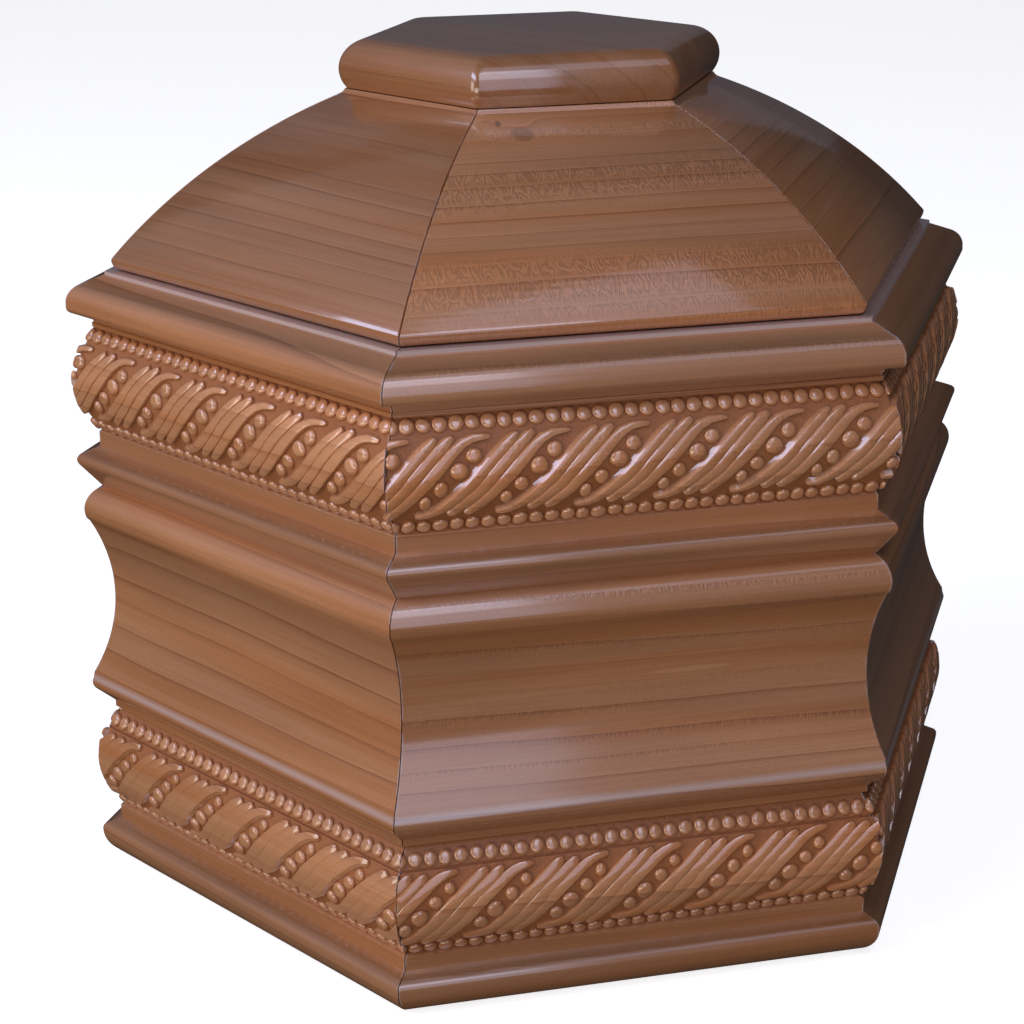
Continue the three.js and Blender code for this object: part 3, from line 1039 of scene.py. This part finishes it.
@dataclass
class Lid:
    """Six curved panels under a hexagonal cap. Lengths are in millimetres."""

    bottom: float = 180.8
    shoulder: float = 228.2
    curve: Circle = Circle(-6.9, 94.2, 143.7)
    collar_foot: float = 226.7
    collar: tuple[Pair, ...] = (
        (48.05, 227.0), (47.5, 227.35), (47.15, 227.75), (46.9, 228.2),
    )
    thickness: float = 12.0
    eye: float = 30.0
    lip: Pair = (2.0, 3.0)
    foot_stain: float = 0.3
    foot_reach: float = 1.2
    hip_round: float = 0.3
    cap_bottom: float = 228.5
    cap_top: float = 241.8
    cap_face: float = 48.6
    cap_round: float = 8.2
    cap_corner: float = 1.5
    # Darker cap wood, partly painted shade that keeps its top dark under the lamps.
    cap_tone: float = 0.72
    tones: tuple[float, ...] = (1.0, 0.95, 1.0, 0.97, 1.03, 0.8)
    torn: tuple[float, ...] = (1.0, 0.0, 0.8, 0.0, 1.0, 0.0)
    panel_wood: VarnishedWood = VarnishedWood(
        "lid_wood",
        heart=(-390.0, -44.0),
        ring=5.4,
        waver=9.0,
        curl=0.17,
        thread=0.12,
        seam_glaze_and_highlight=0.18,
        torn=(0.0, 0.3),
        marks=(
            Mark((-17.3, -56.8, 223.0), (3.2, 4.2, 2.4), (0.20, 0.085, 0.04, 1.0), 0.55, 2.4),
            Mark((-22.7, -52.2, 225.2), (0.9, 1.6, 1.4), (0.10, 0.055, 0.035, 1.0), 0.7, 0.8),
        ),
    )
    cap_wood: VarnishedWood = VarnishedWood("cap_wood", heart=(-121.0, 147.0), ring=2.3, waver=4.0)

    def section(self) -> Outline:
        """Section of one panel from its inner foot round by the outer curve."""
        curve = self.curve
        back = Circle(curve.a, curve.z, curve.r - self.thickness)
        foot = self.bottom - curve.z
        inner_foot = math.degrees(math.asin(foot / back.r))
        start = math.degrees(math.asin((foot + self.lip[1]) / curve.r))
        end = math.degrees(math.asin((self.collar_foot - curve.z) / curve.r))
        eye_angle = math.degrees(math.acos((self.eye - curve.a) / back.r))
        outer = curve.arc(start, end, 2.0)
        edge = outer[0][0]
        return [
            (back.arc(inner_foot, eye_angle)[0][0], self.bottom),
            *ellipse((edge - self.lip[0], self.bottom + self.lip[1]), self.lip, -90, 0, 0.5),
            *outer,
            *self.collar,
            (self.eye, self.shoulder),
            *back.arc(eye_angle, inner_foot, 4.0)[:-1],
        ]

    def build(self, prism: Piece) -> None:
        """Models the panels and the cap in their places.

        Args:
            prism: The mitre prism.
        """
        panel = Bench.moulding("panel", self.section())
        Bench.work(panel, prism, Joinery.KEEP_INSIDE)
        self.ease(panel)
        finish = self.panel_wood.material()
        for number, name in enumerate(SIDE_NAMES):
            piece = Bench.copy(panel, f"lid_panel_{name}")
            places = Marking.places(piece)
            shift = np.array((0.37 * number, 0.006 * ((number * 3) % 4), -0.013 * ((number * 2) % 5)))
            # Darker towards the panel's foot.
            stain = self.foot_stain * np.clip(1 - (places[:, 2] / MM - self.bottom) / self.foot_reach, 0, 1)
            torn, tone = self.torn[number], self.tones[number]
            Marking.write(piece, places + shift, places, stain=stain, torn=torn, tone=tone)
            Bench.finish(piece, [finish], number)
            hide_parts(f"dome_{name}")
            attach(piece, "root")
            LOG.info("%s: %d faces", piece.name, len(piece.data.polygons))
        Bench.drop(panel)
        self.cap()

    def ease(self, panel: Piece) -> None:
        """Takes the sharpness off a panel's outer mitre edges."""
        curve = self.curve

        def on_hip(co: Vector) -> bool:
            outer = abs(math.hypot(-co.y / MM - curve.a, co.z / MM - curve.z) - curve.r) < 0.02
            return outer and abs(abs(co.x) + co.y * math.tan(SECTOR / 2)) < 0.5 * MM

        Bench.edit(panel)
        Bench.pick(panel, on_hip, "EDGE")
        bpy.ops.mesh.bevel(offset=self.hip_round * MM, segments=2, affect="EDGES")
        Bench.clear()

    def ease_corners(self, cap: Piece) -> None:
        """Rounds the six corners of the cap in edit mode."""
        Bench.pick(cap, lambda co: True, "EDGE")
        mesh = bmesh.from_edit_mesh(cap.data)
        for edge in mesh.edges:
            first, second = edge.verts
            edge.select_set(abs(first.co.z - second.co.z) > DOUBLES)
        bmesh.update_edit_mesh(cap.data)
        bpy.ops.mesh.bevel(offset=self.cap_corner * MM, segments=4, affect="EDGES")

    def cap(self) -> None:
        """Models the cap from a six-cornered face, drawn up along its half-round edge."""
        Bench.clear()
        edge = Circle(self.cap_face - self.cap_round, self.cap_top - self.cap_round, self.cap_round)
        start = math.degrees(math.asin((self.cap_bottom - edge.z) / edge.r))
        path = edge.arc(start, 90, 1.1)
        radius = path[0][0] / math.cos(SECTOR / 2)
        bpy.ops.mesh.primitive_circle_add(
            vertices=SIDES, radius=radius * MM, fill_type="NGON", location=(0, 0, self.cap_bottom * MM)
        )
        bpy.ops.object.transform_apply(location=True)
        cap = bpy.context.object
        cap.name = cap.data.name = "lid_cap"
        Bench.edit(cap, "FACE")
        bpy.ops.transform.rotate(value=SECTOR / 2, orient_axis="Z", center_override=(0, 0, 0))
        for (a, z), (next_a, next_z) in zip(path, path[1:]):
            Bench.draw_out([(0, 0, (next_z - z) * MM)])
            size = next_a / a
            bpy.ops.transform.resize(value=(size, size, 1.0), center_override=(0, 0, next_z * MM))
        Bench.clean()
        self.ease_corners(cap)
        Bench.clear()
        places = Marking.places(cap)
        along = Matrix.Rotation(math.radians(60), 3, "Z")
        board = places @ np.array(along.transposed())
        far_from_ends = np.array((0, -1.0, 0))
        Marking.write(cap, board, places + far_from_ends, tone=self.cap_tone)
        Bench.finish(cap, [self.cap_wood.material()], 0)
        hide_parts("cap")
        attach(cap, "root")
        LOG.info("%s: %d faces", cap.name, len(cap.data.polygons))


@dataclass(frozen=True)
class RawBoard:
    """Plain unvarnished board under the box, with planed grain along X."""

    name: str = "raw_board"
    pale: Colour = (0.50, 0.31, 0.16, 1.0)
    line: Colour = (0.33, 0.17, 0.075, 1.0)

    def dress(self, node: Piece) -> None:
        """Puts the finish on the frame's own board."""
        graph = Graph(self.name)
        place = graph.millimetres(graph.node("ShaderNodeTexCoord").outputs["Object"])
        drift = graph.noise(place, 0.05, 2.0, along=0.1)
        fibre = graph.noise(place, 1.4, 4.0, along=0.04)
        across = graph.node("ShaderNodeSeparateXYZ")
        graph.put(across.inputs[0], place)
        count = graph.sum("MULTIPLY_ADD", drift, 14.0, graph.sum("MULTIPLY", across.outputs["Y"], 0.22))
        late = graph.span(graph.sum("FRACT", count), 0.2, 0.95, 0.0, 0.7)
        colour = graph.mix(late, self.pale, self.line)
        colour = graph.mix(graph.span(fibre, 0.3, 0.7, 0.0, 0.25), colour, self.line)
        graph.shade("Base Color", colour)
        graph.shade("Roughness", graph.span(fibre, 0.3, 0.7, 0.6, 0.72))
        node.data.materials.clear()
        node.data.materials.append(graph.material)
        LOG.info("%s: finish", node.name)


@dataclass(frozen=True)
class Lamp:
    """Soft lamp that faces the urn. Lengths are in metres.

    Heading is its direction from the urn in degrees, -90 being the front; height is its angle above level.
    """

    name: str
    heading: float
    height: float
    away: float
    size: Pair
    power: float
    colour: Triple

    def hang(self, aim: Vector) -> None:
        """Hangs the lamp so that it faces a place."""
        light = bpy.data.lights.new(self.name, "AREA")
        light.shape = "RECTANGLE"
        light.size, light.size_y = self.size
        light.energy = self.power
        light.color = self.colour
        lamp = bpy.data.objects.new(self.name, light)
        way = heading_to(self.heading, self.height)
        lamp.location = aim + way * self.away
        lamp.rotation_euler = (-way).to_track_quat("-Z", "Y").to_euler()
        bpy.context.scene.collection.objects.link(lamp)


def heading_to(heading: float, height: float) -> Vector:
    """Direction from the urn towards a heading and a height in degrees."""
    az, el = math.radians(heading), math.radians(height)
    return Vector((math.cos(az) * math.cos(el), math.sin(az) * math.cos(el), math.sin(el)))


@dataclass
class Studio:
    """Pale floor, soft lights and the camera. Places are in metres."""

    stand: Triple = (-0.16579, -0.65279, 0.32965)
    heading: float = -103.658
    dip: float = 18.963
    roll: float = -0.523
    lens: float = 82.8
    aim: Triple = (0.0, 0.0, 0.12)
    lamps: tuple[Lamp, ...] = (
        Lamp("window", -165, 8, 1.7, (0.9, 0.9), 8.0, (1.0, 0.93, 0.84)),
        Lamp("table", -122, -6, 2.0, (1.4, 0.6), 9.5, (1.0, 0.93, 0.83)),
        Lamp("door", -87, 12, 1.8, (0.6, 1.3), 3.6, (0.7, 0.74, 1.0)),
        Lamp("sky", -89, 46, 1.8, (0.7, 0.9), 6.5, (0.74, 0.77, 1.0)),
        Lamp("ceiling", -66, 64, 1.8, (1.2, 0.7), 2.3, (0.74, 0.77, 1.0)),
        Lamp("left_sky", -166, 41, 1.8, (1.4, 0.5), 14.0, (0.62, 0.70, 1.0)),
        Lamp("far_sky", 150, 38, 1.8, (2.0, 2.0), 2.0, (0.85, 0.85, 1.0)),
        Lamp("back", 80, 20, 2.2, (1.8, 1.8), 0.8, (0.7, 0.75, 1.0)),
    )

    def build(self) -> None:
        """Sets up the floor, the lights and the camera."""
        self.floor()
        for lamp in self.lamps:
            lamp.hang(Vector(self.aim))
        world = bpy.data.worlds.new("room")
        world.use_nodes = True
        back = world.node_tree.nodes["Background"]
        back.inputs["Color"].default_value = (1.0, 0.93, 0.9, 1.0)
        back.inputs["Strength"].default_value = 0.025
        bpy.context.scene.world = world
        bpy.context.scene.view_settings.view_transform = "Standard"
        self.camera()

    def floor(self) -> None:
        """Lays a wide pale floor."""
        Bench.clear()
        bpy.ops.mesh.primitive_plane_add(size=8.0, location=(0, 0, -0.0004))
        floor = bpy.context.object
        floor.name = "floor"
        graph = Graph("pale_floor")
        graph.shade("Base Color", (0.86, 0.86, 0.87, 1.0))
        graph.shade("Roughness", 0.8)
        graph.shade("Emission Color", (1.0, 1.0, 1.0, 1.0))
        graph.shade("Emission Strength", 0.8)
        floor.data.materials.append(graph.material)
        floor.visible_diffuse = False
        floor.visible_glossy = False
        floor.visible_shadow = False

    def camera(self) -> None:
        """Stands the camera where the picture was taken from."""
        forward = -heading_to(self.heading, self.dip)
        right = forward.cross(Vector((0, 0, 1))).normalized()
        up = right.cross(forward)
        level = Matrix((right, up, -forward)).transposed()
        data = bpy.data.cameras.new("camera")
        data.lens = self.lens
        data.sensor_width = 36.0
        data.clip_start = 0.01
        camera = bpy.data.objects.new("camera", data)
        turned = level @ Matrix.Rotation(math.radians(self.roll), 3, "Z")
        camera.matrix_world = Matrix.Translation(self.stand) @ turned.to_4x4()
        bpy.context.scene.collection.objects.link(camera)
        bpy.context.scene.camera = camera


def main() -> None:
    """Builds the urn piece by piece around its frame."""
    logging.basicConfig(level=logging.INFO, format="%(name)s: %(message)s")
    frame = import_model()
    Studio().build()
    tools = (CarvingTools(), CarvingTools(spread=1.25, flanks=((1.0, 0.2), (0.7, 0.5), (0.7, 0.5))))
    for shapes in tools:
        shapes.make()
    box = Box()
    prism = box.mitre()
    box.build(tools, prism)
    Lid().build(prism)
    Bench.drop(prism)
    RawBoard().dress(frame["nodes"]["bottom_board"])
    Bench.clear()


if __name__ == "__main__":
    main()
